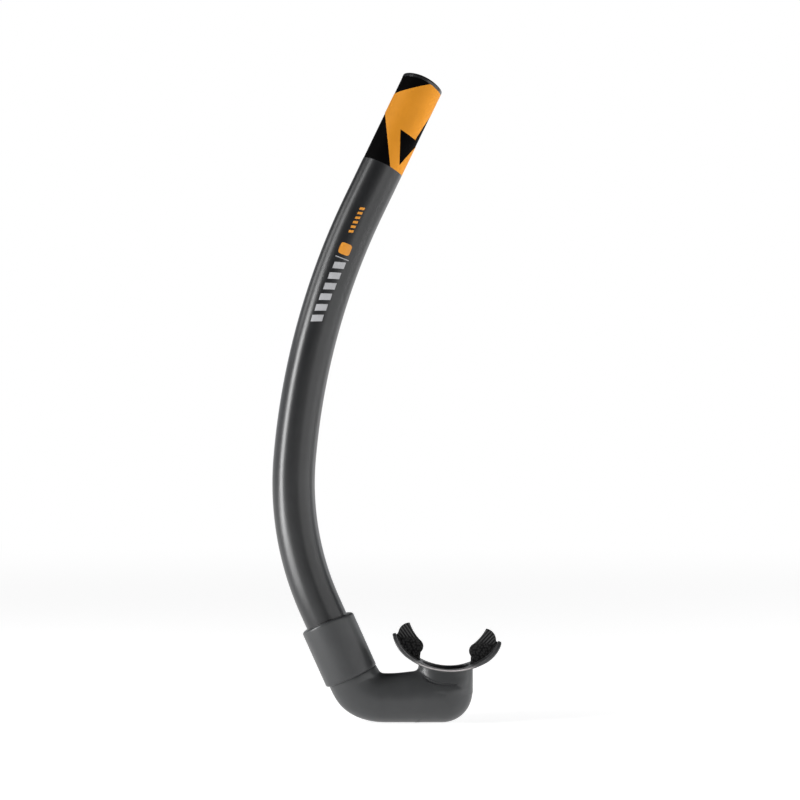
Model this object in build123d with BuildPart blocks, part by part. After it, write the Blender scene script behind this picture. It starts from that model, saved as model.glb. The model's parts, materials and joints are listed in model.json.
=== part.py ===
from build123d import *

"""J-shaped snorkel: a curved rigid barrel, a film band at its top and a soft mouthpiece that turns on it.

The barrel and the mouthpiece share the XZ plane as their plane of symmetry. +Z is up, and the
origin is on the ground plane, under the middle of the snorkel's width. Millimetres and degrees.
"""

import os
from math import cos, radians, sin


# Barrel: one tube of constant section along a line, two arcs and a line.
BARREL_RADIUS = 13.2
BORE_RADIUS = 10.5
LOWER_LEAN = 24.2
LOWER_STRAIGHT = 47.9
LOWER_ARC_RADIUS = 184.5
LOWER_ARC_ANGLE = 28.95
UPPER_ARC_RADIUS = 444.8
UPPER_ARC_ANGLE = 21.0
UPPER_STRAIGHT = 84.1
RIM_ARCH_RADIUS = 40.0
RIM_ARCH_RISE = 3.4
RIM_ROUNDING = 1.2

# Joint of the barrel and the cuff, measured along the lower axis from the elbow's upper end.
BARREL_FOOT = 2.0
FOOT_GAP = 0.3
FIT_CLEARANCE = 0.05
BEAD_HEIGHT = 10.0
BEAD_RADIUS = 1.5
BEAD_DEPTH = 0.7

# Band: a black film sleeve with an orange foil on it, flush in a shallow seat under the rim.
BAND_RIM_MARGIN = 2.3
BAND_FOOT_DEPTH = 55.6
BAND_FOOT_ARCH_RADIUS = 80.0
SLEEVE_THICKNESS = 0.2
FOIL_THICKNESS = 0.15

# Corners of the foil's windows, to the right and up from the middle of the rim's chord.
FOIL_WINDOWS = (
    ((-16.0, -15.5), (-16.0, 6.0), (6.0, 6.0), (6.0, 1.5)),
    ((-16.0, -21.5), (6.3, -58.0), (-16.0, -58.0)),
    ((0.6, -32.3), (13.9, -34.0), (9.4, -52.2)),
    ((11.2, -34.0), (13.9, -9.0), (13.9, -35.0)),
)

# Mouthpiece: cuff, elbow, chamber, neck and lip flange in one soft moulding.
CUFF_RADIUS = 16.9
CUFF_LENGTH = 36.0
CUFF_ARCH_RADIUS = 71.0
CUFF_ARCH_RISE = 1.9
CUFF_ROUNDING = 1.2
CUFF_FOOT_ROUNDING = 0.8
ELBOW_RADIUS = 15.13
ELBOW_BEND_RADIUS = 22.94
ELBOW_CENTRE_X = -1.0
SOFT_WALL = 2.6
CHAMBER_END_X = 52.7
NECK_CENTRE_X = 36.0
NECK_HALF_LENGTH = 16.5
NECK_HALF_DEPTH = 11.5
NECK_TOP = 44.0

# Lip flange: a curved shield, given in the tilted frame of the mouth.
MOUTH_X = 37.3
MOUTH_Z = 51.5
MOUTH_TILT = 4.5
FLANGE_THICKNESS = 1.8
FLANGE_SAG = 19.0
FLANGE_ARC_RADIUS = 45.0
FLANGE_ARC_HALF_ANGLE = 33.0
WING_ARC_RADIUS = 23.75
WING_ARC_ANGLE = 38.5
FLANGE_WIDTH = 68.6
FLANGE_HEIGHT = 29.0
FLANGE_WAIST = 23.6
WAIST_RADIUS = 30.0

# Bite tabs: flat plates that stand on the inside of the flange.
TAB_THICKNESS = 3.6
TAB_CORNER_ROUNDING = 0.8

# Outline of the right tab in the mouth's frame, from the inner root up and round to the outer root.
TAB_INNER_ROOT = (15.8, -17.0)
TAB_LUG = ((15.5, -9.3), (14.2, -5.8), (16.5, -1.9))
TAB_BITE_EDGE_MIDDLE = (20.9, 3.1)
TAB_TIP = ((23.8, 8.3), (28.4, 6.2), (30.4, 1.9))
TAB_OUTER_EDGE = ((32.0, -1.4), (34.0, -9.0))

# Lengths that only have to reach past the material.
REACH = 40.0

lean_cos = cos(radians(LOWER_LEAN))
lean_sin = sin(radians(LOWER_LEAN))
upper_lean = LOWER_ARC_ANGLE + UPPER_ARC_ANGLE - LOWER_LEAN
upper_cos = cos(radians(upper_lean))
upper_sin = sin(radians(upper_lean))
tilt_cos = cos(radians(MOUTH_TILT))
tilt_sin = sin(radians(MOUTH_TILT))

# Side planes: local x runs to the right and local y up the axis, both in the plane of symmetry.
elbow_centre = Vector(ELBOW_CENTRE_X, 0, ELBOW_RADIUS + ELBOW_BEND_RADIUS)
toward_elbow_centre = Vector(lean_cos, 0, lean_sin)
lower_side = Plane(
    origin=elbow_centre - toward_elbow_centre * ELBOW_BEND_RADIUS,
    x_dir=toward_elbow_centre,
    z_dir=(0, -1, 0),
)
lower_axis = Axis(lower_side.origin, lower_side.y_dir)
mouth_side = Plane(
    origin=(MOUTH_X, 0, MOUTH_Z),
    x_dir=(tilt_cos, 0, -tilt_sin),
    z_dir=(0, -1, 0),
)
mouth_face = Plane(origin=mouth_side.origin, x_dir=mouth_side.x_dir, z_dir=mouth_side.y_dir)


def turned_up_tube(inset):
    """Elbow, chamber and neck as one solid, with every wall moved in by inset."""
    tube_radius = ELBOW_RADIUS - inset
    end_centre_x = CHAMBER_END_X - ELBOW_RADIUS
    with BuildPart() as tube:
        # The chamber's end over its axis: upright round wall, under the level tube's top.
        with BuildSketch(Plane.XY.offset(ELBOW_RADIUS)):
            with Locations((end_centre_x, 0)):
                Circle(tube_radius)
        extrude(amount=REACH)
        with BuildSketch(Plane.YZ):
            with Locations((0, ELBOW_RADIUS)):
                Circle(tube_radius)
        extrude(amount=2 * REACH, mode=Mode.INTERSECT)
        with Locations((end_centre_x, 0, ELBOW_RADIUS)):
            Sphere(tube_radius)
        # The chamber, level.
        with BuildSketch(Plane.YZ.offset(ELBOW_CENTRE_X)):
            with Locations((0, ELBOW_RADIUS)):
                Circle(tube_radius)
        extrude(amount=end_centre_x - ELBOW_CENTRE_X)
        # The elbow, from the cuff round to the chamber.
        with BuildLine(lower_side) as bend:
            JernArc(start=(0, 0), tangent=(0, -1), radius=ELBOW_BEND_RADIUS, arc_size=90 - LOWER_LEAN)
        with BuildSketch(Plane(origin=bend.line @ 0, z_dir=bend.line % 0)):
            Circle(tube_radius)
        sweep(path=bend.line)
        # The oval neck, upright, out of the top of the chamber.
        with BuildSketch(Plane.XY.offset(ELBOW_RADIUS)):
            with Locations((NECK_CENTRE_X, 0)):
                Ellipse(NECK_HALF_LENGTH - inset, NECK_HALF_DEPTH - inset)
        extrude(amount=NECK_TOP - ELBOW_RADIUS)
    return tube.part


def over_flange(inset, headroom=0):
    """Side view of the hollow over the lip flange's back, with the back moved in by inset.

    It ends level with the wings' ends, or goes on up between them by the headroom.
    """
    with BuildSketch(mouth_side) as hollow:
        with BuildLine():
            middle = CenterArc(
                center=(0, FLANGE_ARC_RADIUS - FLANGE_SAG),
                radius=FLANGE_ARC_RADIUS - inset,
                start_angle=270 - FLANGE_ARC_HALF_ANGLE,
                arc_size=2 * FLANGE_ARC_HALF_ANGLE,
            )
            right_wing = JernArc(
                start=middle @ 1,
                tangent=middle % 1,
                radius=WING_ARC_RADIUS - inset,
                arc_size=WING_ARC_ANGLE,
            )
            left_wing = JernArc(
                start=middle @ 0,
                tangent=(middle % 0) * -1,
                radius=WING_ARC_RADIUS - inset,
                arc_size=-WING_ARC_ANGLE,
            )
            Line(right_wing @ 1, left_wing @ 1)
        make_face()
        if headroom > 0:
            wing_end = right_wing @ 1
            with Locations((0, wing_end.Y)):
                Rectangle(2 * wing_end.X, headroom, align=(Align.CENTER, Align.MIN))
    return hollow.sketch


def band_ring(outer_radius, inner_radius):
    """Ring round the barrel's top, between an arch under the rim's and the arch of the band's foot."""
    with BuildPart() as ring:
        with BuildSketch(Plane(origin=rim_side.origin, z_dir=rim_side.y_dir)):
            Circle(outer_radius)
            Circle(inner_radius, mode=Mode.SUBTRACT)
        extrude(amount=2 * REACH, both=True)
        with BuildSketch(rim_side):
            with Locations((0, RIM_ARCH_RISE - RIM_ARCH_RADIUS)):
                Circle(RIM_ARCH_RADIUS - BAND_RIM_MARGIN)
            with Locations((0, -BAND_FOOT_DEPTH - BAND_FOOT_ARCH_RADIUS)):
                Circle(BAND_FOOT_ARCH_RADIUS, mode=Mode.SUBTRACT)
        extrude(amount=REACH, both=True, mode=Mode.INTERSECT)
    return ring.part


# ---- barrel ----
sleeve_radius = BARREL_RADIUS - FOIL_THICKNESS
seat_radius = sleeve_radius - SLEEVE_THICKNESS
with BuildPart() as barrel:
    with BuildLine(lower_side) as centreline:
        foot = Line((0, BARREL_FOOT), (0, LOWER_STRAIGHT))
        lower_arc = JernArc(
            start=foot @ 1, tangent=foot % 1, radius=LOWER_ARC_RADIUS, arc_size=-LOWER_ARC_ANGLE
        )
        upper_arc = JernArc(
            start=lower_arc @ 1, tangent=lower_arc % 1, radius=UPPER_ARC_RADIUS, arc_size=-UPPER_ARC_ANGLE
        )
        PolarLine(
            start=upper_arc @ 1, length=UPPER_STRAIGHT + 2 * RIM_ARCH_RISE, direction=upper_arc % 1
        )
    with BuildSketch(Plane(origin=centreline.line @ 0, z_dir=centreline.line % 0)):
        Circle(BARREL_RADIUS)
        Circle(BORE_RADIUS, mode=Mode.SUBTRACT)
    sweep(path=centreline.line)
    # Retention bead near the foot.
    with BuildSketch(lower_side):
        with Locations((BARREL_RADIUS - BEAD_DEPTH, BEAD_HEIGHT)):
            Circle(BEAD_RADIUS)
    revolve(axis=lower_axis)
    rim_side = Plane(
        origin=upper_arc @ 1 + (upper_arc % 1) * UPPER_STRAIGHT,
        x_dir=(upper_cos, 0, -upper_sin),
        z_dir=(0, -1, 0),
    )
    # The rim is arched: cut along the wall, over a shallow arc about the Y direction.
    with BuildSketch(rim_side):
        Rectangle(REACH, REACH)
        with Locations((0, RIM_ARCH_RISE - RIM_ARCH_RADIUS)):
            Circle(RIM_ARCH_RADIUS, mode=Mode.SUBTRACT)
        with Locations((0, -REACH / 4)):
            Rectangle(REACH, REACH / 2, mode=Mode.SUBTRACT)
    extrude(amount=REACH, both=True, mode=Mode.SUBTRACT)
    fillet(barrel.edges().group_by(Axis(rim_side.origin, rim_side.y_dir))[-2:], radius=RIM_ROUNDING)
    # The seat of the band, as deep as the band is thick.
    add(band_ring(BARREL_RADIUS + RIM_ROUNDING, seat_radius), mode=Mode.SUBTRACT)
barrel.part.label = "barrel"

# ---- band at the top of the barrel ----
with BuildPart() as band_sleeve:
    add(band_ring(sleeve_radius, seat_radius))
band_sleeve.part.label = "band_sleeve"

with BuildPart() as band_foil:
    add(band_ring(BARREL_RADIUS, sleeve_radius))
    # Triangular windows, cut straight through from side to side.
    with BuildSketch(rim_side):
        for corners in FOIL_WINDOWS:
            with BuildLine():
                Polyline(*corners, close=True)
            make_face()
    extrude(amount=REACH, both=True, mode=Mode.SUBTRACT)
band_foil.part.label = "band_foil"

# ---- lip flange, which is part of the mouthpiece ----
with BuildPart() as lip_flange:
    extrude(over_flange(0), amount=FLANGE_HEIGHT, both=True)
    extrude(over_flange(FLANGE_THICKNESS), amount=FLANGE_HEIGHT, both=True, mode=Mode.SUBTRACT)
    # Outline as the lips meet it: round ends and a waist in the middle.
    with BuildSketch(mouth_face):
        SlotOverall(FLANGE_WIDTH, FLANGE_HEIGHT)
        with Locations(*[(0, side * (FLANGE_WAIST / 2 + WAIST_RADIUS)) for side in (-1, 1)]):
            Circle(WAIST_RADIUS, mode=Mode.SUBTRACT)
    extrude(amount=REACH, both=True, mode=Mode.INTERSECT)

# ---- mouthpiece ----
outer_tube = turned_up_tube(0)
air_way = turned_up_tube(SOFT_WALL)
with BuildPart() as mouthpiece:
    # The cuff: a plain sleeve with an arched top edge.
    with BuildSketch(lower_side):
        Rectangle(CUFF_RADIUS, CUFF_LENGTH + CUFF_ARCH_RISE, align=Align.MIN)
    revolve(axis=lower_axis)
    with BuildSketch(lower_side):
        with Locations((0, CUFF_LENGTH - REACH / 4)):
            Rectangle(2 * REACH, REACH, align=(Align.CENTER, Align.MIN))
        with Locations((0, CUFF_LENGTH + CUFF_ARCH_RISE - CUFF_ARCH_RADIUS)):
            Circle(CUFF_ARCH_RADIUS, mode=Mode.SUBTRACT)
    extrude(amount=REACH, both=True, mode=Mode.SUBTRACT)
    fillet(mouthpiece.edges().group_by(lower_axis)[-1], radius=CUFF_ROUNDING)
    fillet(mouthpiece.edges().group_by(lower_axis)[0], radius=CUFF_FOOT_ROUNDING)
    # The outer walls of the elbow, chamber and neck, up to the back of the lip flange.
    add(outer_tube)
    extrude(over_flange(0), amount=FLANGE_HEIGHT, both=True, mode=Mode.SUBTRACT)
    add(lip_flange.part)
    add(air_way, mode=Mode.SUBTRACT)
    # Seat of the barrel: the air way up to its foot, its bore, and the groove that takes the bead.
    with BuildSketch(lower_side):
        Rectangle(ELBOW_RADIUS - SOFT_WALL, CUFF_LENGTH, align=Align.MIN)
        with Locations((0, BARREL_FOOT - FOOT_GAP)):
            Rectangle(BARREL_RADIUS + FIT_CLEARANCE, CUFF_LENGTH + REACH, align=Align.MIN)
        with Locations((BARREL_RADIUS - BEAD_DEPTH, BEAD_HEIGHT)):
            Circle(BEAD_RADIUS + FIT_CLEARANCE)
    revolve(axis=lower_axis, mode=Mode.SUBTRACT)
mouthpiece.part.label = "mouthpiece"

# ---- bite tabs ----
with BuildPart() as bite_tab_right:
    with BuildSketch(mouth_side):
        with BuildLine():
            Line(TAB_INNER_ROOT, TAB_LUG[0])
            ThreePointArc(*TAB_LUG)
            ThreePointArc(TAB_LUG[2], TAB_BITE_EDGE_MIDDLE, TAB_TIP[0])
            ThreePointArc(*TAB_TIP)
            Polyline(TAB_TIP[2], *TAB_OUTER_EDGE, TAB_INNER_ROOT)
        make_face()
    extrude(amount=TAB_THICKNESS / 2, both=True)
    # Only what stands inside the flange, whose inner surface is the tab's foot.
    tab_room = over_flange(FLANGE_THICKNESS, headroom=REACH)
    extrude(tab_room, amount=TAB_THICKNESS, both=True, mode=Mode.INTERSECT)
    fillet(bite_tab_right.edges().filter_by(Axis.Y), radius=TAB_CORNER_ROUNDING)
bite_tab_right.part.label = "bite_tab_right"

with BuildPart() as bite_tab_left:
    mirror(bite_tab_right.part, about=Plane(origin=mouth_side.origin, z_dir=mouth_side.x_dir))
bite_tab_left.part.label = "bite_tab_left"

os.makedirs("parts", exist_ok=True)
for piece in (barrel, band_sleeve, band_foil, mouthpiece, bite_tab_left, bite_tab_right):
    export_step(piece.part, f"parts/{piece.part.label}.step")
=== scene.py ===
import json
from math import asin, cos, pi, radians, sin

import bpy
import numpy as np
import openvdb
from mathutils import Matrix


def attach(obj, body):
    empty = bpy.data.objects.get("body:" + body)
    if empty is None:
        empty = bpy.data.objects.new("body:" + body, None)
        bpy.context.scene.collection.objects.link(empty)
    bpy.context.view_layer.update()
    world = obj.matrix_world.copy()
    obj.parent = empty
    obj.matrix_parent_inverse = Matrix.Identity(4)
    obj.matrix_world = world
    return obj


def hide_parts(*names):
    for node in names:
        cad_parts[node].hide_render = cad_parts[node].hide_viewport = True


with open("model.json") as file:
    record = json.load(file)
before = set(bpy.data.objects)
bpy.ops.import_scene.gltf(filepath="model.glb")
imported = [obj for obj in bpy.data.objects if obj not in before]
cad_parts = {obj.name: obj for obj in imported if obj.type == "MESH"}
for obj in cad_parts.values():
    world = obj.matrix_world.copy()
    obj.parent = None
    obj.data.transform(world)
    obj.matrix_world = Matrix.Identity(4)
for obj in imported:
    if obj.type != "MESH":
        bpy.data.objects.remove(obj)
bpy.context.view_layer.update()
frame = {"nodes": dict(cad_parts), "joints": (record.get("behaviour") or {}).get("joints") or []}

# Lengths are in millimetres and angles in radians until a mesh is made.
MM = 0.001

# Barrel: a line, two arcs and a line, as (length, turn to the right per millimetre).
BARREL_RADIUS = 13.2
BORE_RADIUS = 10.5
BARREL_RUNS = (
    (47.9, 0.0),
    (184.5 * radians(28.95), 1 / 184.5),
    (444.8 * radians(21.0), 1 / 444.8),
    (84.1, 0.0),
)
BARREL_FOOT = 2.0
FOOT_GAP = 0.3
RIM_ARCH_RADIUS = 40.0
RIM_ARCH_RISE = 3.4
RIM_ROUNDING = 1.2
BAND_RIM_MARGIN = 2.3
BAND_FOOT_DEPTH = 55.6
BAND_FOOT_ARCH_RADIUS = 80.0
BAND_SEAT_RADIUS = 12.85
BEAD_HEIGHT = 10.0
BEAD_RADIUS = 1.5
BEAD_CENTRE_RADIUS = 12.5

# Cuff on the barrel's foot.
CUFF_RADIUS = 16.9
CUFF_BORE_RADIUS = 13.25
CUFF_ROOT_RADIUS = 14.3
CUFF_LENGTH = 36.0
CUFF_ARCH_RADIUS = 85.0
CUFF_ARCH_RISE = 1.9
CUFF_ARCH_OFFSET = -2.5

# Elbow, chamber and neck.
TUBE_RADIUS = 15.13
BEND_RADIUS = 22.94
BEND_X = -1.0
HEEL_BULGE = 1.1
CHAMBER_GROWTH = 0.85
CHAMBER_CORNER = 18.6
CHAMBER_END_X = 53.0
SOFT_WALL = 2.6
NECK_WALL = 2.0
NECK_X = 36.5
NECK_HALF_LENGTH = 16.9

# Lip flange, in the tilted frame of the mouth.
MOUTH_X = 37.3
MOUTH_Z = 51.5
MOUTH_TILT = radians(4.5)
LIP_RADIUS = 45.0
LIP_SAG = 19.0
LIP_HALF_ANGLE = radians(33.0)
WING_RADIUS = 23.75
WING_ANGLE = radians(38.5)

joint = frame["joints"][0]
foot_x, _, foot_z = (value / MM for value in joint["pos_m"])
lower_lean = asin(joint["axis"][0])


# ---- shapes ----
def centreline(t):
    """Point (x, z) and lean from the vertical, at distance t along the barrel from the cuff's foot."""
    x = np.full_like(t, foot_x)
    z = np.full_like(t, foot_z)
    lean = np.full_like(t, lower_lean)
    start = 0.0
    for index, (length, turn) in enumerate(BARREL_RUNS):
        last = index == len(BARREL_RUNS) - 1
        u = np.maximum(t - start, 0.0 if index else -np.inf)
        if not last:
            u = np.minimum(u, length)
        if turn:
            x = x + (np.cos(lean) - np.cos(lean + u * turn)) / turn
            z = z + (np.sin(lean + u * turn) - np.sin(lean)) / turn
        else:
            x = x + np.sin(lean) * u
            z = z + np.cos(lean) * u
        lean = lean + u * turn
        start += length
    return x, z, lean


RIM_AT = sum(length for length, _ in BARREL_RUNS)


def on_barrel(t, angle, radius):
    """Points round the centreline; angle 0 faces -Y and a quarter turn faces right."""
    x, z, lean = centreline(t)
    right = radius * np.sin(angle)
    return np.stack((x + right * np.cos(lean), -radius * np.cos(angle), z - right * np.sin(lean)), axis=-1)


def arch_height(offset, radius, crown):
    """Height at this offset to the right of an arch with this radius and crown."""
    return crown - radius + np.sqrt(radius ** 2 - offset ** 2)


def rim_height(offset):
    """Distance along the barrel of its arched rim, at this offset to the right."""
    return arch_height(offset, RIM_ARCH_RADIUS, RIM_AT + RIM_ARCH_RISE)


def new_object(name, points, faces, material, body, node=None, normals=None, sharp=None):
    """A smooth mesh in metres that rides on a body, and may stand for a CAD node."""
    mesh = bpy.data.meshes.new(name)
    mesh.from_pydata([tuple(p) for p in np.asarray(points) * MM], [], [tuple(f) for f in faces])
    mesh.shade_smooth()
    if normals is not None:
        mesh.normals_split_custom_set_from_vertices(normals)
    if sharp is not None:
        mesh.set_sharp_from_angle(angle=sharp)
    mesh.materials.append(material)
    obj = bpy.data.objects.new(name, mesh)
    bpy.context.scene.collection.objects.link(obj)
    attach(obj, body)
    if node:
        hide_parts(node)
    return obj


def paint_highlight(obj, highlight_shares):
    """Stores a share of painted highlight on an object's vertices, from 0 to 1."""
    painted_highlight = obj.data.attributes.new("painted_highlight", "FLOAT", "POINT")
    painted_highlight.data.foreach_set("value", highlight_shares.astype(np.float32))


def wrapped_faces(rows, columns):
    """Quads of a grid that closes on itself both ways."""
    i, j = np.meshgrid(np.arange(rows), np.arange(columns), indexing="ij")
    a = i * columns + j
    b = i * columns + (j + 1) % columns
    c = (i + 1) % rows * columns + (j + 1) % columns
    d = (i + 1) % rows * columns + j
    return np.stack((a, b, c, d), axis=-1).reshape(-1, 4)


def quarter_turn(steps):
    return np.linspace(0, pi / 2, steps)


# ---- smooth solids as signed distances ----
def union(a, b, blend):
    near = np.maximum(blend - np.abs(a - b), 0) / blend
    return np.minimum(a, b) - near ** 2 * blend / 4


def common(a, b, blend):
    return -union(-a, -b, blend)


def rounded_common(a, b, radius):
    corner = np.hypot(np.maximum(a + radius, 0), np.maximum(b + radius, 0))
    return np.minimum(np.maximum(a, b), -radius) + corner


def ease(value):
    value = np.clip(value, 0, 1)
    return value * value * (3 - 2 * value)


def mesh_of(field, low, high, step):
    """Quads and triangles over the zero surface of field(x, y, z), its vertices moved onto the surface."""
    counts = [int(np.ceil((b - a) / step)) + 1 for a, b in zip(low, high)]
    axes = [a + step * np.arange(n) for a, n in zip(low, counts)]
    values = field(*np.meshgrid(*axes, indexing="ij"))
    grid = openvdb.FloatGrid(float(values.max()))
    grid.copyFromArray(values.astype(np.float32))
    points, triangles, quads = grid.convertToPolygons(0.0, 0.0)
    points = points.astype(float) * step + np.array(low)
    reach = 0.05
    for _ in range(4):
        slope = gradient(field, points, reach)
        size = np.maximum((slope ** 2).sum(1), 0.2)
        shift = slope * (field(*points.T) / size)[:, None]
        points -= np.clip(shift, -step / 2, step / 2)
    normals = gradient(field, points, reach)
    normals /= np.linalg.norm(normals, axis=1)[:, None] + 1e-9
    faces = [tuple(f) for f in triangles] + [tuple(f) for f in quads]
    return points, faces, normals


def gradient(field, points, reach):
    slope = np.empty_like(points)
    for axis in range(3):
        offset = np.zeros(3)
        offset[axis] = reach
        slope[:, axis] = field(*(points + offset).T) - field(*(points - offset).T)
    return slope / (2 * reach)


def cuff_frame(x, z):
    """Offset to the right of the lower axis, and distance up it from the cuff's foot."""
    dx = x - foot_x
    dz = z - foot_z
    side = dx * cos(lower_lean) - dz * sin(lower_lean)
    along = dx * sin(lower_lean) + dz * cos(lower_lean)
    return side, along


def mouth_frame(x, z):
    """Offset to the right and up, in the tilted frame of the mouth."""
    dx = x - MOUTH_X
    dz = z - MOUTH_Z
    return dx * cos(MOUTH_TILT) - dz * sin(MOUTH_TILT), dx * sin(MOUTH_TILT) + dz * cos(MOUTH_TILT)


def tube(x, y, z, inset):
    """Stub in the cuff, elbow and chamber, with the wall moved in by inset."""
    side, along = cuff_frame(x, z)
    radius = TUBE_RADIUS + CHAMBER_GROWTH * ease((x - BEND_X - 3) / 22)
    level = np.hypot(y, z - radius) - (radius - inset)
    bend_z = TUBE_RADIUS + BEND_RADIUS
    from_axis = np.hypot(x - BEND_X, z - bend_z) - BEND_RADIUS
    bend_angle = np.arctan2(BEND_X - x, bend_z - z)
    heel = HEEL_BULGE * ease(bend_angle / radians(40)) * ease((radians(65) - bend_angle) / radians(24))
    heel = heel * np.clip(from_axis / TUBE_RADIUS, 0, 1) ** 2
    bend = np.hypot(from_axis, y) - (TUBE_RADIUS - inset) - heel
    stub = np.hypot(side, y) - (TUBE_RADIUS - inset)
    end_radius = TUBE_RADIUS + CHAMBER_GROWTH
    turn_x = CHAMBER_END_X - CHAMBER_CORNER
    turn_radius = CHAMBER_CORNER - end_radius
    turn = np.hypot(np.hypot(x - turn_x, z - CHAMBER_CORNER) - turn_radius, y) - (end_radius - inset)
    wall_radius = end_radius - inset
    side_radius = np.sqrt(np.maximum(wall_radius ** 2 - (z - end_radius) ** 2, 0))
    wide = ease((z - CHAMBER_CORNER) / 3)
    upright_share = ease((x - turn_x) / turn_radius) * (1 - wide) + ease((x - 24) / 14) * wide
    upright_share = upright_share * (1 - ease((z - CHAMBER_CORNER) / 7))
    side_radius = side_radius + (wall_radius - side_radius) * upright_share
    shoulder = np.hypot(np.maximum(x - turn_x - turn_radius, 0), y) - side_radius
    shoulder = shoulder * np.maximum(side_radius, 3.0) / wall_radius
    end = np.where(z < CHAMBER_CORNER, turn, shoulder)
    result = np.where((x < turn_x) & ((z < CHAMBER_CORNER) | (x < 24)), level, end)
    result = np.where(x < BEND_X, bend, result)
    return np.where((along > 0) & (x < 8), stub, result)


def neck(x, y, z, inset, squareness):
    """Oval neck, upright on the chamber's end, whose end wall runs down into the chamber's."""
    dx = x - NECK_X
    slim = 10.6 + 2.8 * (1 - ease((z - 22) / 13))
    end_radius = TUBE_RADIUS + CHAMBER_GROWTH
    chamber_depth = np.sqrt(np.maximum(end_radius ** 2 - (z - end_radius) ** 2, 1.0))
    full = -union(-chamber_depth, -slim, 4.0)
    length = NECK_HALF_LENGTH - inset
    depth = slim + (full - slim) * ease((dx - 2) / 12) - inset
    power = 2.0 + squareness * ease((z - 20) / 12)
    across = np.abs(dx) / length
    deep = np.abs(y) / depth
    size = (across ** power + deep ** power) ** (1 / power) + 1e-9
    slope = np.hypot(across ** (power - 1) / length, deep ** (power - 1) / depth) * size ** (1 - power)
    return (size - 1) / np.maximum(slope, 0.03)


def behind_lips(x, z):
    """Distance behind the flange's back and along it from the middle."""
    u, v = mouth_frame(x, z)
    u = np.abs(u)
    centre_v = LIP_RADIUS - LIP_SAG
    wing_u = (LIP_RADIUS - WING_RADIUS) * sin(LIP_HALF_ANGLE)
    wing_v = centre_v - (LIP_RADIUS - WING_RADIUS) * cos(LIP_HALF_ANGLE)
    in_wing = u * cos(LIP_HALF_ANGLE) - (centre_v - v) * sin(LIP_HALF_ANGLE) > 0
    middle = np.hypot(u, v - centre_v) - LIP_RADIUS
    wing = np.hypot(u - wing_u, v - wing_v) - WING_RADIUS
    middle_along = LIP_RADIUS * np.arctan2(u, centre_v - v)
    wing_angle = np.arctan2(u - wing_u, wing_v - v) - LIP_HALF_ANGLE
    wing_along = LIP_RADIUS * LIP_HALF_ANGLE + WING_RADIUS * wing_angle
    return np.where(in_wing, wing, middle), np.where(in_wing, wing_along, middle_along)


LIP_LENGTH = LIP_RADIUS * LIP_HALF_ANGLE + WING_RADIUS * WING_ANGLE


def lip_outline(y, along):
    """Distance outside the flange's outline: a waist in the middle and oval ends."""
    half_height = 14.5
    end_length = 15.5
    waist = half_height - 2.3 * (1 - ease(along / 19))
    end_along = along - (LIP_LENGTH - end_length)
    size = np.hypot(end_along / end_length, y / half_height)
    slope = np.hypot(end_along / end_length ** 2, y / half_height ** 2) + 1e-6
    return np.where(end_along > 0, size * (size - 1) / slope, np.abs(y) - waist)


def lip_thickness(along):
    return 1.45 + 0.95 * ease((along - 8) / 24)


def flange(x, y, z):
    back, along = behind_lips(x, z)
    thickness = lip_thickness(along)
    plate = np.abs(back + thickness / 2) - thickness / 2
    return rounded_common(plate, lip_outline(y, along), 0.7)


def painted_edge_highlight(points):
    """Share of painted highlight on the flange's edge at each point, from 0 to 1: across the edge in the
    middle, on the edge's corners towards the wings, weaker on the right wing.
    """
    x, y, z = points.T
    back, along = behind_lips(x, z)
    half = lip_thickness(along) / 2
    depth = np.abs(back + half)
    middle = ease(1.15 - depth / 0.75)
    corners = 0.55 * ease(1 - np.abs(depth - half + 0.1) / 0.4)
    wing = ease((along - 13) / 9)
    right = ease((x - MOUTH_X) / 15)
    at_edge = ease(1 + lip_outline(y, along) / 0.7)
    return at_edge * (middle * (1 - wing) + corners * wing * (1 - 0.6 * right))


def soft_body(x, y, z):
    """Elbow, chamber, neck and flange in one moulding with the air way through them."""
    side, along = cuff_frame(x, z)
    back, _ = behind_lips(x, z)
    outer = tube(x, y, z, 0.0)
    outer = np.where(x < 8, np.maximum(outer, along - 1.2), outer)
    # The cuff runs on over the inside of the bend.
    collar = common(np.hypot(side - 1.5, y) - 15.1, np.abs(along + 2.1) - 2.7, 2.0)
    outer = union(outer, collar, 0.4 + 2.0 * ease((side - 9) / 6))
    neck_wall = np.maximum(neck(x, y, z, 0.0, 0.4), -(back + 0.7))
    # Under the chamber's corner the neck's wall fades into the chamber's.
    neck_wall = np.maximum(neck_wall, 0.12 * (CHAMBER_CORNER - z))
    # A fillet on the left of the neck, then a crease with a shallow groove that fades to the right.
    fillet = 0.5 + 3.0 * (1 - ease((x - 19) / 6))
    groove = 0.75 * ease((x - 21) / 4) * (1 - ease((x - 39) / 7))
    groove_z = 24.9 + 5.2 * (np.maximum(34 - x, 0) / 13) ** 2
    outer = union(outer, neck_wall, fillet)
    outer = np.maximum(outer, groove - np.hypot(outer, z - groove_z))
    outer = union(outer, flange(x, y, z), 0.8)
    neck_hollow = np.maximum(neck(x, y, z, NECK_WALL, 0.6), CHAMBER_CORNER + NECK_WALL - z)
    air = union(tube(x, y, z, SOFT_WALL), neck_hollow, 2.0)
    return common(outer, -air, 0.7)


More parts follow.
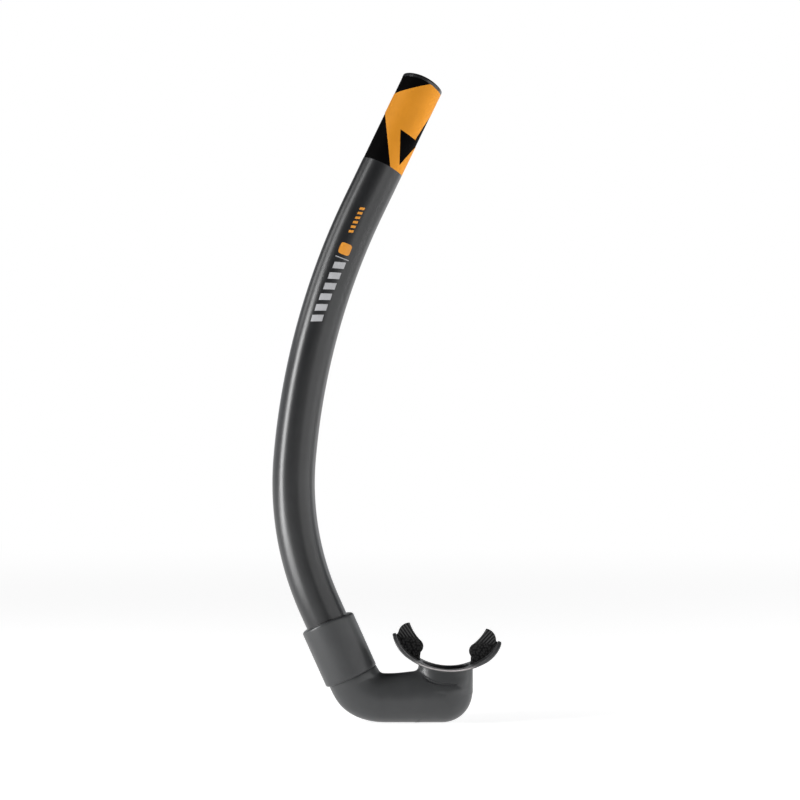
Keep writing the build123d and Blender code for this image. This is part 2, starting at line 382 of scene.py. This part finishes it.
# ---- bite tabs ----
def arc_points(start, middle, end, steps):
    """Points on the circle through three points, without the last one."""
    (ax, ay), (bx, by), (cx, cy) = start, middle, end
    d = 2 * (ax * (by - cy) + bx * (cy - ay) + cx * (ay - by))
    a2, b2, c2 = ax * ax + ay * ay, bx * bx + by * by, cx * cx + cy * cy
    ux = (a2 * (by - cy) + b2 * (cy - ay) + c2 * (ay - by)) / d
    uy = (a2 * (cx - bx) + b2 * (ax - cx) + c2 * (bx - ax)) / d
    first = np.arctan2(ay - uy, ax - ux)
    last = np.arctan2(cy - uy, cx - ux)
    turn = (last - first + pi) % (2 * pi) - pi
    angles = first + turn * np.arange(steps) / steps
    radius = np.hypot(ax - ux, ay - uy)
    return [(ux + radius * cos(a), uy + radius * sin(a)) for a in angles]


TAB_HALF_THICKNESS = 1.42
TAB_OUTLINE = np.array(
    [(15.9, -17.0)]
    + arc_points((15.6, -9.3), (14.2, -5.8), (16.5, -1.9), 10)
    + arc_points((16.5, -1.9), (20.9, 3.1), (23.8, 8.3), 10)
    + arc_points((23.8, 8.3), (28.4, 6.2), (30.4, 1.9), 12)
    + [(30.4, 1.9), (32.0, -1.4), (34.0, -9.0)]
)


def outline_distance(u, v, outline):
    """Signed distance from a closed outline, negative inside."""
    nearest = np.full(u.shape, np.inf)
    inside = np.zeros(u.shape, bool)
    for (ax, ay), (bx, by) in zip(outline, np.roll(outline, -1, axis=0)):
        ex, ey = bx - ax, by - ay
        along = np.clip(((u - ax) * ex + (v - ay) * ey) / (ex * ex + ey * ey), 0, 1)
        nearest = np.minimum(nearest, np.hypot(u - ax - along * ex, v - ay - along * ey))
        if ey:
            crosses = (ay > v) != (by > v)
            inside ^= crosses & (u < ex * (v - ay) / ey + ax)
    return np.where(inside, -nearest, nearest)


rng = np.random.default_rng(7)
cells_u, cells_v = np.meshgrid(np.arange(13, 34, 1.7), np.arange(-18, 10, 1.7), indexing="ij")
cells_u = cells_u + 0.85 * (np.arange(cells_u.shape[1]) % 2)[None, :]
STUDS = np.stack((cells_u.ravel(), cells_v.ravel()), axis=1)
STUDS = STUDS + rng.uniform(-0.45, 0.45, STUDS.shape)
STUD_SIZES = rng.uniform(0.75, 1.05, len(STUDS))
RELIEF_HEIGHT = 0.42
RIB_PITCH = 1.7


def bite_relief(u, v):
    """Height of the grip pattern on a tab's faces: ribs near the tip, studs nearer the root."""
    lengthwise = (u - 15.5) * 0.62 + (v + 9.0) * 0.78
    across = (u - 15.5) * 0.78 - (v + 9.0) * 0.62
    ribs = 0.5 + 0.5 * np.cos(across * 2 * pi / RIB_PITCH)
    studs = np.zeros(u.shape)
    for (cu, cv), size in zip(STUDS, STUD_SIZES):
        studs = np.maximum(studs, ease(1.35 - np.hypot(u - cu, v - cv) / size))
    tipward = ease((lengthwise - 9.5 - 0.7 * across) / 2.5)
    return RELIEF_HEIGHT * (0.6 * studs * (1 - tipward) + ribs * tipward)


def bite_tab(u, y, v):
    """A tab in the mouth's frame: a flat plate with a grip pattern, standing on the flange."""
    outline = outline_distance(u, v, TAB_OUTLINE)
    margin = ease((-outline - 0.5) / 0.8)
    half_thickness = TAB_HALF_THICKNESS + bite_relief(u, v) * margin
    faces = np.abs(y) - half_thickness
    plate = rounded_common(outline, faces, 0.7)
    x = MOUTH_X + u * cos(MOUTH_TILT) + v * sin(MOUTH_TILT)
    z = MOUTH_Z - u * sin(MOUTH_TILT) + v * cos(MOUTH_TILT)
    back, _ = behind_lips(x, z)
    # The foot stands on the flange and flares where it meets it.
    foot = 0.9 * ease(1 - (-back - 1.6) / 1.5)
    return np.maximum(plate - foot * 0.6, back + 1.0)


# ---- materials ----
def surface(name, colour, second, roughness, spread, grain, grain_size, mottle=90.0, shine=0.5):
    """Moulded plastic, rubber or film: two mottled shades, uneven gloss and a fine grain."""
    material = bpy.data.materials.new(name)
    material.use_nodes = True
    tree = material.node_tree
    nodes, links = tree.nodes, tree.links
    shader = nodes["Principled BSDF"]
    place = nodes.new("ShaderNodeTexCoord")
    patches = nodes.new("ShaderNodeTexNoise")
    patches.inputs["Scale"].default_value = mottle
    patches.inputs["Detail"].default_value = 6
    patches.inputs["Roughness"].default_value = 0.6
    links.new(place.outputs["Object"], patches.inputs["Vector"])
    shades = nodes.new("ShaderNodeValToRGB")
    shades.color_ramp.elements[0].position = 0.35
    shades.color_ramp.elements[0].color = (*colour, 1)
    shades.color_ramp.elements[1].position = 0.65
    shades.color_ramp.elements[1].color = (*second, 1)
    links.new(patches.outputs["Fac"], shades.inputs["Fac"])
    links.new(shades.outputs["Color"], shader.inputs["Base Color"])
    handling = nodes.new("ShaderNodeTexNoise")
    handling.inputs["Scale"].default_value = mottle * 2.7
    handling.inputs["Detail"].default_value = 4
    links.new(place.outputs["Object"], handling.inputs["Vector"])
    gloss = nodes.new("ShaderNodeMapRange")
    gloss.inputs["To Min"].default_value = roughness - spread
    gloss.inputs["To Max"].default_value = roughness + spread
    links.new(handling.outputs["Fac"], gloss.inputs["Value"])
    links.new(gloss.outputs["Result"], shader.inputs["Roughness"])
    fine = nodes.new("ShaderNodeTexNoise")
    fine.inputs["Scale"].default_value = 1 / (grain_size * MM)
    fine.inputs["Detail"].default_value = 3
    links.new(place.outputs["Object"], fine.inputs["Vector"])
    bump = nodes.new("ShaderNodeBump")
    bump.inputs["Distance"].default_value = grain * MM
    bump.inputs["Strength"].default_value = 1.0
    links.new(fine.outputs["Fac"], bump.inputs["Height"])
    links.new(bump.outputs["Normal"], shader.inputs["Normal"])
    shader.inputs["Specular IOR Level"].default_value = shine
    return material


barrel_plastic = surface(
    "barrel_plastic", (0.0085, 0.0088, 0.0094), (0.0108, 0.0112, 0.0120), 0.29, 0.03, 0.006, 0.35
)
black_film = surface(
    "black_film", (0.0013, 0.0012, 0.0012), (0.0018, 0.0017, 0.0017), 0.50, 0.04, 0.003, 0.5, shine=0.01,
)
orange_foil = surface(
    "orange_foil", (0.46, 0.178, 0.012), (0.49, 0.190, 0.014), 0.60, 0.04, 0.004, 0.4, shine=0.12,
)
grey_silicone = surface(
    "grey_silicone", (0.031, 0.032, 0.033), (0.035, 0.036, 0.037), 0.38, 0.05, 0.020, 0.30, shine=0.40
)
black_silicone = surface(
    "black_silicone", (0.0015, 0.0015, 0.0016), (0.0032, 0.0032, 0.0034), 0.55, 0.06, 0.02, 0.3, shine=0.15,
)
silver_ink = surface("silver_ink", (0.27, 0.27, 0.28), (0.31, 0.31, 0.32), 0.45, 0.05, 0.004, 0.2)
orange_ink = surface("orange_ink", (0.50, 0.195, 0.014), (0.53, 0.21, 0.017), 0.45, 0.05, 0.004, 0.2)


def mix_painted_highlight(material, colour):
    """Mixes a painted highlight, a lighter colour, into the material's base colour by each vertex's share of
    painted highlight.
    """
    nodes, links = material.node_tree.nodes, material.node_tree.links
    shader = nodes["Principled BSDF"]
    highlight_mask = nodes.new("ShaderNodeAttribute")
    highlight_mask.attribute_name = "painted_highlight"
    blend = nodes.new("ShaderNodeMix")
    blend.data_type = "RGBA"
    sockets = {socket.identifier: socket for socket in (*blend.inputs, *blend.outputs)}
    sockets["B_Color"].default_value = (*colour, 1)
    links.new(highlight_mask.outputs["Fac"], sockets["Factor_Float"])
    links.new(shader.inputs["Base Color"].links[0].from_socket, sockets["A_Color"])
    links.new(sockets["Result_Color"], shader.inputs["Base Color"])


# Painted highlight colours: light grey on the flange's edge, dark grey on the tab grips' ribs and studs.
mix_painted_highlight(grey_silicone, (0.36, 0.34, 0.34))
mix_painted_highlight(black_silicone, (0.050, 0.050, 0.050))

for node, material in (("band_sleeve", black_film), ("band_foil", orange_foil)):
    for used in frame["nodes"][node].material_slots:
        used.material = material

# ---- barrel ----
columns = 112
angles = np.arange(columns) * 2 * pi / columns


def barrel_rows():
    """(distance along the barrel at each angle, radius) for each ring of the barrel's wall, outside first."""
    bead_half = (BEAD_RADIUS ** 2 - (BARREL_RADIUS - BEAD_CENTRE_RADIUS) ** 2) ** 0.5
    rows = [(np.full(columns, BARREL_FOOT), BARREL_RADIUS)]
    for offset in np.linspace(-bead_half, bead_half, 9):
        radius = BEAD_CENTRE_RADIUS + (BEAD_RADIUS ** 2 - offset ** 2) ** 0.5
        rows.append((np.full(columns, BEAD_HEIGHT + offset), radius))
    start = BEAD_HEIGHT + bead_half
    across = BARREL_RADIUS * np.sin(angles)
    band_foot = arch_height(across, BAND_FOOT_ARCH_RADIUS, RIM_AT - BAND_FOOT_DEPTH)
    band_top = arch_height(
        across, RIM_ARCH_RADIUS - BAND_RIM_MARGIN, RIM_AT + RIM_ARCH_RISE - BAND_RIM_MARGIN
    )
    for share in np.linspace(0, 1, 170)[1:]:
        rows.append((start + share * (band_foot - start), BARREL_RADIUS))
    for share in np.linspace(0, 1, 28):
        rows.append((band_foot + share * (band_top - band_foot), BAND_SEAT_RADIUS))
    rows.append((band_top, BARREL_RADIUS))
    for side, radius in ((1, BARREL_RADIUS), (-1, BORE_RADIUS)):
        for turn in quarter_turn(9)[::side]:
            ring = radius - side * RIM_ROUNDING * (1 - cos(turn))
            rows.append((rim_height(ring * np.sin(angles)) - RIM_ROUNDING * (1 - sin(turn)), ring))
    inside_top = rim_height(BORE_RADIUS * np.sin(angles)) - RIM_ROUNDING
    for share in np.linspace(1, 0, 200)[1:]:
        rows.append((BARREL_FOOT + share * (inside_top - BARREL_FOOT), BORE_RADIUS))
    return rows


rows = barrel_rows()
ring_points = [on_barrel(t, angles, radius) for t, radius in rows]
new_object(
    "barrel_tube", np.concatenate(ring_points), wrapped_faces(len(rows), columns)[:, ::-1],
    barrel_plastic, "barrel_body", node="barrel", sharp=radians(40),
)

# ---- cuff ----
def cuff_rows():
    """(distance up the axis at each angle, radius) for each ring of the cuff's wall, outside first."""
    rows = []
    foot = 1.1
    for turn in quarter_turn(7):
        rows.append((np.full(columns, foot * (1 - cos(turn))), CUFF_RADIUS - foot * (1 - sin(turn))))

    def top(radius):
        offset = radius * np.sin(angles) - CUFF_ARCH_OFFSET
        return arch_height(offset, CUFF_ARCH_RADIUS, CUFF_LENGTH + CUFF_ARCH_RISE)

    rounding = 1.3
    outside_top = top(CUFF_RADIUS) - rounding
    for share in np.linspace(0, 1, 24)[1:-1]:
        rows.append((foot + share * (outside_top - foot), CUFF_RADIUS))
    for turn in quarter_turn(8):
        ring = CUFF_RADIUS - rounding * (1 - cos(turn))
        rows.append((top(ring) - rounding * (1 - sin(turn)), ring))
    inner = 0.5
    for turn in quarter_turn(5)[::-1]:
        ring = CUFF_BORE_RADIUS + inner * (1 - cos(turn))
        rows.append((top(ring) - inner * (1 - sin(turn)), ring))
    inside_top = top(CUFF_BORE_RADIUS) - inner
    # The groove of the barrel's bead, between two plain stretches of the bore.
    groove_radius = BEAD_RADIUS + CUFF_BORE_RADIUS - BARREL_RADIUS
    groove_half = (groove_radius ** 2 - (CUFF_BORE_RADIUS - BEAD_CENTRE_RADIUS) ** 2) ** 0.5
    groove_top = BEAD_HEIGHT + groove_half
    for share in np.linspace(1, 0, 19)[1:-1]:
        rows.append((groove_top + share * (inside_top - groove_top), CUFF_BORE_RADIUS))
    for offset in np.linspace(groove_half, -groove_half, 11):
        radius = BEAD_CENTRE_RADIUS + (groove_radius ** 2 - offset ** 2) ** 0.5
        rows.append((np.full(columns, BEAD_HEIGHT + offset), radius))
    for height in np.linspace(BEAD_HEIGHT - groove_half, BARREL_FOOT - FOOT_GAP, 6)[1:]:
        rows.append((np.full(columns, height), CUFF_BORE_RADIUS))
    rows.append((np.full(columns, 0.0), CUFF_ROOT_RADIUS))
    return rows


def on_cuff(along, angle, radius):
    right = radius * np.sin(angle)
    x = foot_x + right * cos(lower_lean) + along * sin(lower_lean)
    z = foot_z - right * sin(lower_lean) + along * cos(lower_lean)
    return np.stack((x, -radius * np.cos(angle) * np.ones_like(x), z), axis=-1)


rows = cuff_rows()
new_object(
    "mouthpiece_cuff", np.concatenate([on_cuff(t, angles, radius) for t, radius in rows]),
    wrapped_faces(len(rows), columns)[:, ::-1], grey_silicone, "mouthpiece_body",
    node="mouthpiece",
)

# ---- elbow, chamber, neck and flange ----
points, faces, normals = mesh_of(soft_body, (-41.0, -17.5, -1.5), (74.0, 17.5, 56.5), 0.55)
moulding = new_object(
    "mouthpiece_moulding", points, faces, grey_silicone, "mouthpiece_body",
    node="mouthpiece", normals=normals,
)
# Painted highlight along the flange's edge, stored on the moulding.
paint_highlight(moulding, painted_edge_highlight(points))

# ---- bite tabs ----
points, faces, normals = mesh_of(bite_tab, (12.5, -3.0, -19.0), (36.0, 3.0, 10.0), 0.28)
for name, mirrored in (("bite_tab_right", 1), ("bite_tab_left", -1)):
    u, y, v = (points * (mirrored, 1, 1)).T
    x = MOUTH_X + u * cos(MOUTH_TILT) + v * sin(MOUTH_TILT)
    z = MOUTH_Z - u * sin(MOUTH_TILT) + v * cos(MOUTH_TILT)
    nu, ny, nv = (normals * (mirrored, 1, 1)).T
    nx = nu * cos(MOUTH_TILT) + nv * sin(MOUTH_TILT)
    nz = nv * cos(MOUTH_TILT) - nu * sin(MOUTH_TILT)
    # Grid order (u, y, v) has the handedness of (x, y, z); a mirrored copy turns its faces round.
    turned = [f[::-1] for f in faces] if mirrored < 0 else faces
    tab = new_object(
        name + "_grip", np.stack((x, y, z), axis=1), turned, black_silicone, "mouthpiece_body",
        node=name, normals=np.stack((nx, ny, nz), axis=1),
    )
    # Painted highlight on the raised ribs and studs of the grip.
    paint_highlight(tab, (bite_relief(points[:, 0], points[:, 2]) / RELIEF_HEIGHT) ** 2)

# ---- prints on the barrel ----
PRINT_HEIGHT = 0.06


def printed(name, outline, material):
    """A thin closed patch on the barrel over an outline of (t, w) points, w being the offset to the right."""
    t, w = np.array(outline).T
    centre_t, centre_w = t.mean(), w.mean()
    rings = []
    for share in (1.0, 0.66, 0.33):
        rings.append((centre_t + (t - centre_t) * share, centre_w + (w - centre_w) * share))
    count = len(t)
    points = []
    for radius in (BARREL_RADIUS + PRINT_HEIGHT, BARREL_RADIUS - PRINT_HEIGHT):
        for ring_t, ring_w in rings:
            points.extend(on_barrel(ring_t, np.arcsin(ring_w / BARREL_RADIUS), radius))
        centre_angle = np.arcsin(np.array([centre_w]) / BARREL_RADIUS)
        points.extend(on_barrel(np.array([centre_t]), centre_angle, radius))
    per_side = 3 * count + 1
    faces = []
    for i in range(count):
        j = (i + 1) % count
        for base in (0, per_side):
            turned = []
            for ring in (0, 1):
                a, b = base + ring * count + i, base + ring * count + j
                turned.append((a, b, b + count, a + count))
            turned.append((base + 2 * count + i, base + 2 * count + j, base + 3 * count))
            faces.extend(f if base else f[::-1] for f in turned)
        faces.append((i, j, per_side + j, per_side + i))
    obj = new_object(name, points, faces, material, "barrel_body")
    for polygon in obj.data.polygons:
        polygon.use_smooth = False
    return obj


def slanted_bar(t0, t1, w0, w1, slant):
    """Outline of a bar from w0 to w1, its ends shifted along the barrel by the slant."""
    steps = np.linspace(0, 1, 5)
    across = [(t0 + slant * s, w0 + (w1 - w0) * s) for s in steps]
    back = [(t1 + slant * s, w0 + (w1 - w0) * s) for s in steps[::-1]]
    return across + back


def axis_w(t):
    """Middle line of the prints, which leans a little from the barrel's axis."""
    return -1.5 + (t - 226.0) * 0.075


for index in range(6):
    t0 = 226.0 + index * 7.0
    middle = axis_w(t0)
    printed(
        f"silver_bar_{index}", slanted_bar(t0, t0 + 4.2, middle - 3.4, middle + 3.4, 2.0),
        silver_ink,
    )
printed("silver_line", slanted_bar(268.6, 269.1, -3.1, 5.5, 0.0), silver_ink)

tile = []
for turn in np.arange(40) * 2 * pi / 40:
    reach = 3.6 / (abs(cos(turn)) ** 5 + abs(sin(turn)) ** 5) ** 0.2
    tile.append((274.8 + reach * cos(turn), 0.9 + reach * sin(turn)))
printed("orange_tile", tile, orange_ink)
for index in range(6):
    t0 = 285.0 + index * 3.1
    printed(
        f"orange_dash_{index}", slanted_bar(t0, t0 + 1.6, -1.3 + 0.1 * index, 1.5 + 0.1 * index, 0.9),
        orange_ink,
    )

# ---- stage, light and camera ----
TARGET_X = 8.2
CAMERA_HEIGHT = 199.7
CAMERA_DISTANCE = 1447.0


def area_light(name, place, aim, width, height, power):
    light = bpy.data.lights.new(name, "AREA")
    light.shape = "RECTANGLE"
    light.size = width
    light.size_y = height
    light.energy = power
    obj = bpy.data.objects.new(name, light)
    bpy.context.scene.collection.objects.link(obj)
    obj.location = place
    direction = obj.location - type(obj.location)(aim)
    obj.rotation_euler = direction.to_track_quat("Z", "Y").to_euler()
    obj.visible_camera = False
    return obj


floor_mesh = bpy.data.meshes.new("floor")
rings = (0.02, 0.1, 0.3, 0.8, 2.0, 5.0, 12.0)
sides = 64
vertices = [(0.0, 0.0, 0.0)]
for radius in rings:
    for side in range(sides):
        vertices.append((radius * cos(2 * pi * side / sides), radius * sin(2 * pi * side / sides), 0.0))
floor_faces = [(0, 1 + side, 1 + (side + 1) % sides) for side in range(sides)]
for ring in range(len(rings) - 1):
    for side in range(sides):
        a = 1 + ring * sides + side
        b = 1 + ring * sides + (side + 1) % sides
        floor_faces.append((a, a + sides, b + sides, b))
floor_mesh.from_pydata(vertices, [], floor_faces)
floor = bpy.data.objects.new("floor", floor_mesh)
bpy.context.scene.collection.objects.link(floor)
floor_paint = bpy.data.materials.new("floor_paint")
floor_paint.use_nodes = True
paint_nodes, paint_links = floor_paint.node_tree.nodes, floor_paint.node_tree.links
paint = paint_nodes["Principled BSDF"]
paint.inputs["Base Color"].default_value = (0.55, 0.55, 0.55, 1)
paint.inputs["Roughness"].default_value = 0.9
paint.inputs["Emission Color"].default_value = (1, 1, 1, 1)
paint.inputs["Emission Strength"].default_value = 0.79
floor_place = paint_nodes.new("ShaderNodeTexCoord")
floor_reach = paint_nodes.new("ShaderNodeVectorMath")
floor_reach.operation = "LENGTH"
floor_fade = paint_nodes.new("ShaderNodeMapRange")
floor_fade.interpolation_type = "SMOOTHSTEP"
floor_fade.inputs["From Min"].default_value = 0.25
floor_fade.inputs["From Max"].default_value = 1.8
far_floor = paint_nodes.new("ShaderNodeEmission")
far_floor.inputs["Strength"].default_value = 1.0
floor_mix = paint_nodes.new("ShaderNodeMixShader")
paint_links.new(floor_place.outputs["Object"], floor_reach.inputs[0])
paint_links.new(floor_reach.outputs["Value"], floor_fade.inputs["Value"])
paint_links.new(floor_fade.outputs["Result"], floor_mix.inputs["Fac"])
paint_links.new(paint.outputs["BSDF"], floor_mix.inputs[1])
paint_links.new(far_floor.outputs["Emission"], floor_mix.inputs[2])
paint_links.new(floor_mix.outputs["Shader"], paint_nodes["Material Output"].inputs["Surface"])
floor_mesh.materials.append(floor_paint)

scene = bpy.context.scene
world = bpy.data.worlds.new("studio")
scene.world = world
world.use_nodes = True
world_nodes, world_links = world.node_tree.nodes, world.node_tree.links
world_nodes.clear()
output = world_nodes.new("ShaderNodeOutputWorld")
seen = world_nodes.new("ShaderNodeBackground")
seen.inputs["Color"].default_value = (1, 1, 1, 1)
seen.inputs["Strength"].default_value = 1.0
room = world_nodes.new("ShaderNodeBackground")
room.inputs["Color"].default_value = (0.95, 0.97, 1.0, 1)
toward = world_nodes.new("ShaderNodeTexCoord")
parts = world_nodes.new("ShaderNodeSeparateXYZ")
world_links.new(toward.outputs["Generated"], parts.inputs["Vector"])
depth_glow = world_nodes.new("ShaderNodeMapRange")
depth_glow.interpolation_type = "SMOOTHSTEP"
for socket, value in zip(("From Min", "From Max", "To Min", "To Max"), (-0.75, 0.55, 0.05, 1.0)):
    depth_glow.inputs[socket].default_value = value
world_links.new(parts.outputs["Y"], depth_glow.inputs["Value"])
height_glow = world_nodes.new("ShaderNodeMapRange")
height_glow.interpolation_type = "SMOOTHSTEP"
for socket, value in zip(("From Min", "From Max", "To Min", "To Max"), (0.0, 0.40, 1.0, 0.03)):
    height_glow.inputs[socket].default_value = value
world_links.new(parts.outputs["Z"], height_glow.inputs["Value"])
glow = world_nodes.new("ShaderNodeMath")
glow.operation = "MULTIPLY"
world_links.new(depth_glow.outputs["Result"], glow.inputs[0])
world_links.new(height_glow.outputs["Result"], glow.inputs[1])
world_links.new(glow.outputs["Value"], room.inputs["Strength"])
path = world_nodes.new("ShaderNodeLightPath")
mix = world_nodes.new("ShaderNodeMixShader")
world_links.new(path.outputs["Is Camera Ray"], mix.inputs["Fac"])
world_links.new(room.outputs["Background"], mix.inputs[1])
world_links.new(seen.outputs["Background"], mix.inputs[2])
world_links.new(mix.outputs["Shader"], output.inputs["Surface"])
scene.view_settings.view_transform = "Standard"

area_light("key_strip", (-0.95, -0.36, 0.30), (0.0, 0.0, 0.26), 0.28, 0.56, 9.2)
area_light("key_top", (-0.90, -0.28, 0.76), (0.0, 0.0, 0.30), 0.30, 0.34, 1.9)
area_light("key_foot", (-0.62, -0.18, 0.03), (-0.05, 0.0, 0.12), 0.30, 0.06, 0.8)
area_light("right_fill", (1.15, -0.61, 0.27), (0.0, 0.0, 0.20), 1.9, 0.95, 8.5)
area_light("low_kicker", (-0.24, -0.09, 0.006), (-0.10, 0.0, 0.10), 0.16, 0.16, 0.42)
area_light("high_left", (-0.82, 0.22, 0.62), (0.0, 0.0, 0.30), 0.30, 0.30, 1.0)
front_fill = area_light("front_fill", (0.38, -1.40, 0.07), (0.0, 0.0, 0.15), 0.8, 0.4, 7.0)
front_fill.visible_glossy = False
right_side = area_light("right_side", (1.10, -0.05, 0.10), (0.0, 0.0, 0.08), 0.5, 0.4, 12.0)
right_side.visible_glossy = False
area_light("right_rim", (0.86, 0.78, 0.20), (0.0, 0.0, 0.15), 0.3, 0.5, 0.65)

camera = bpy.data.cameras.new("camera")
camera.lens = 105.0
camera.sensor_width = 36.0
camera_object = bpy.data.objects.new("camera", camera)
scene.collection.objects.link(camera_object)
camera_object.location = (TARGET_X * MM, -CAMERA_DISTANCE * MM, CAMERA_HEIGHT * MM)
camera_object.rotation_euler = (pi / 2, 0, 0)
scene.camera = camera_object
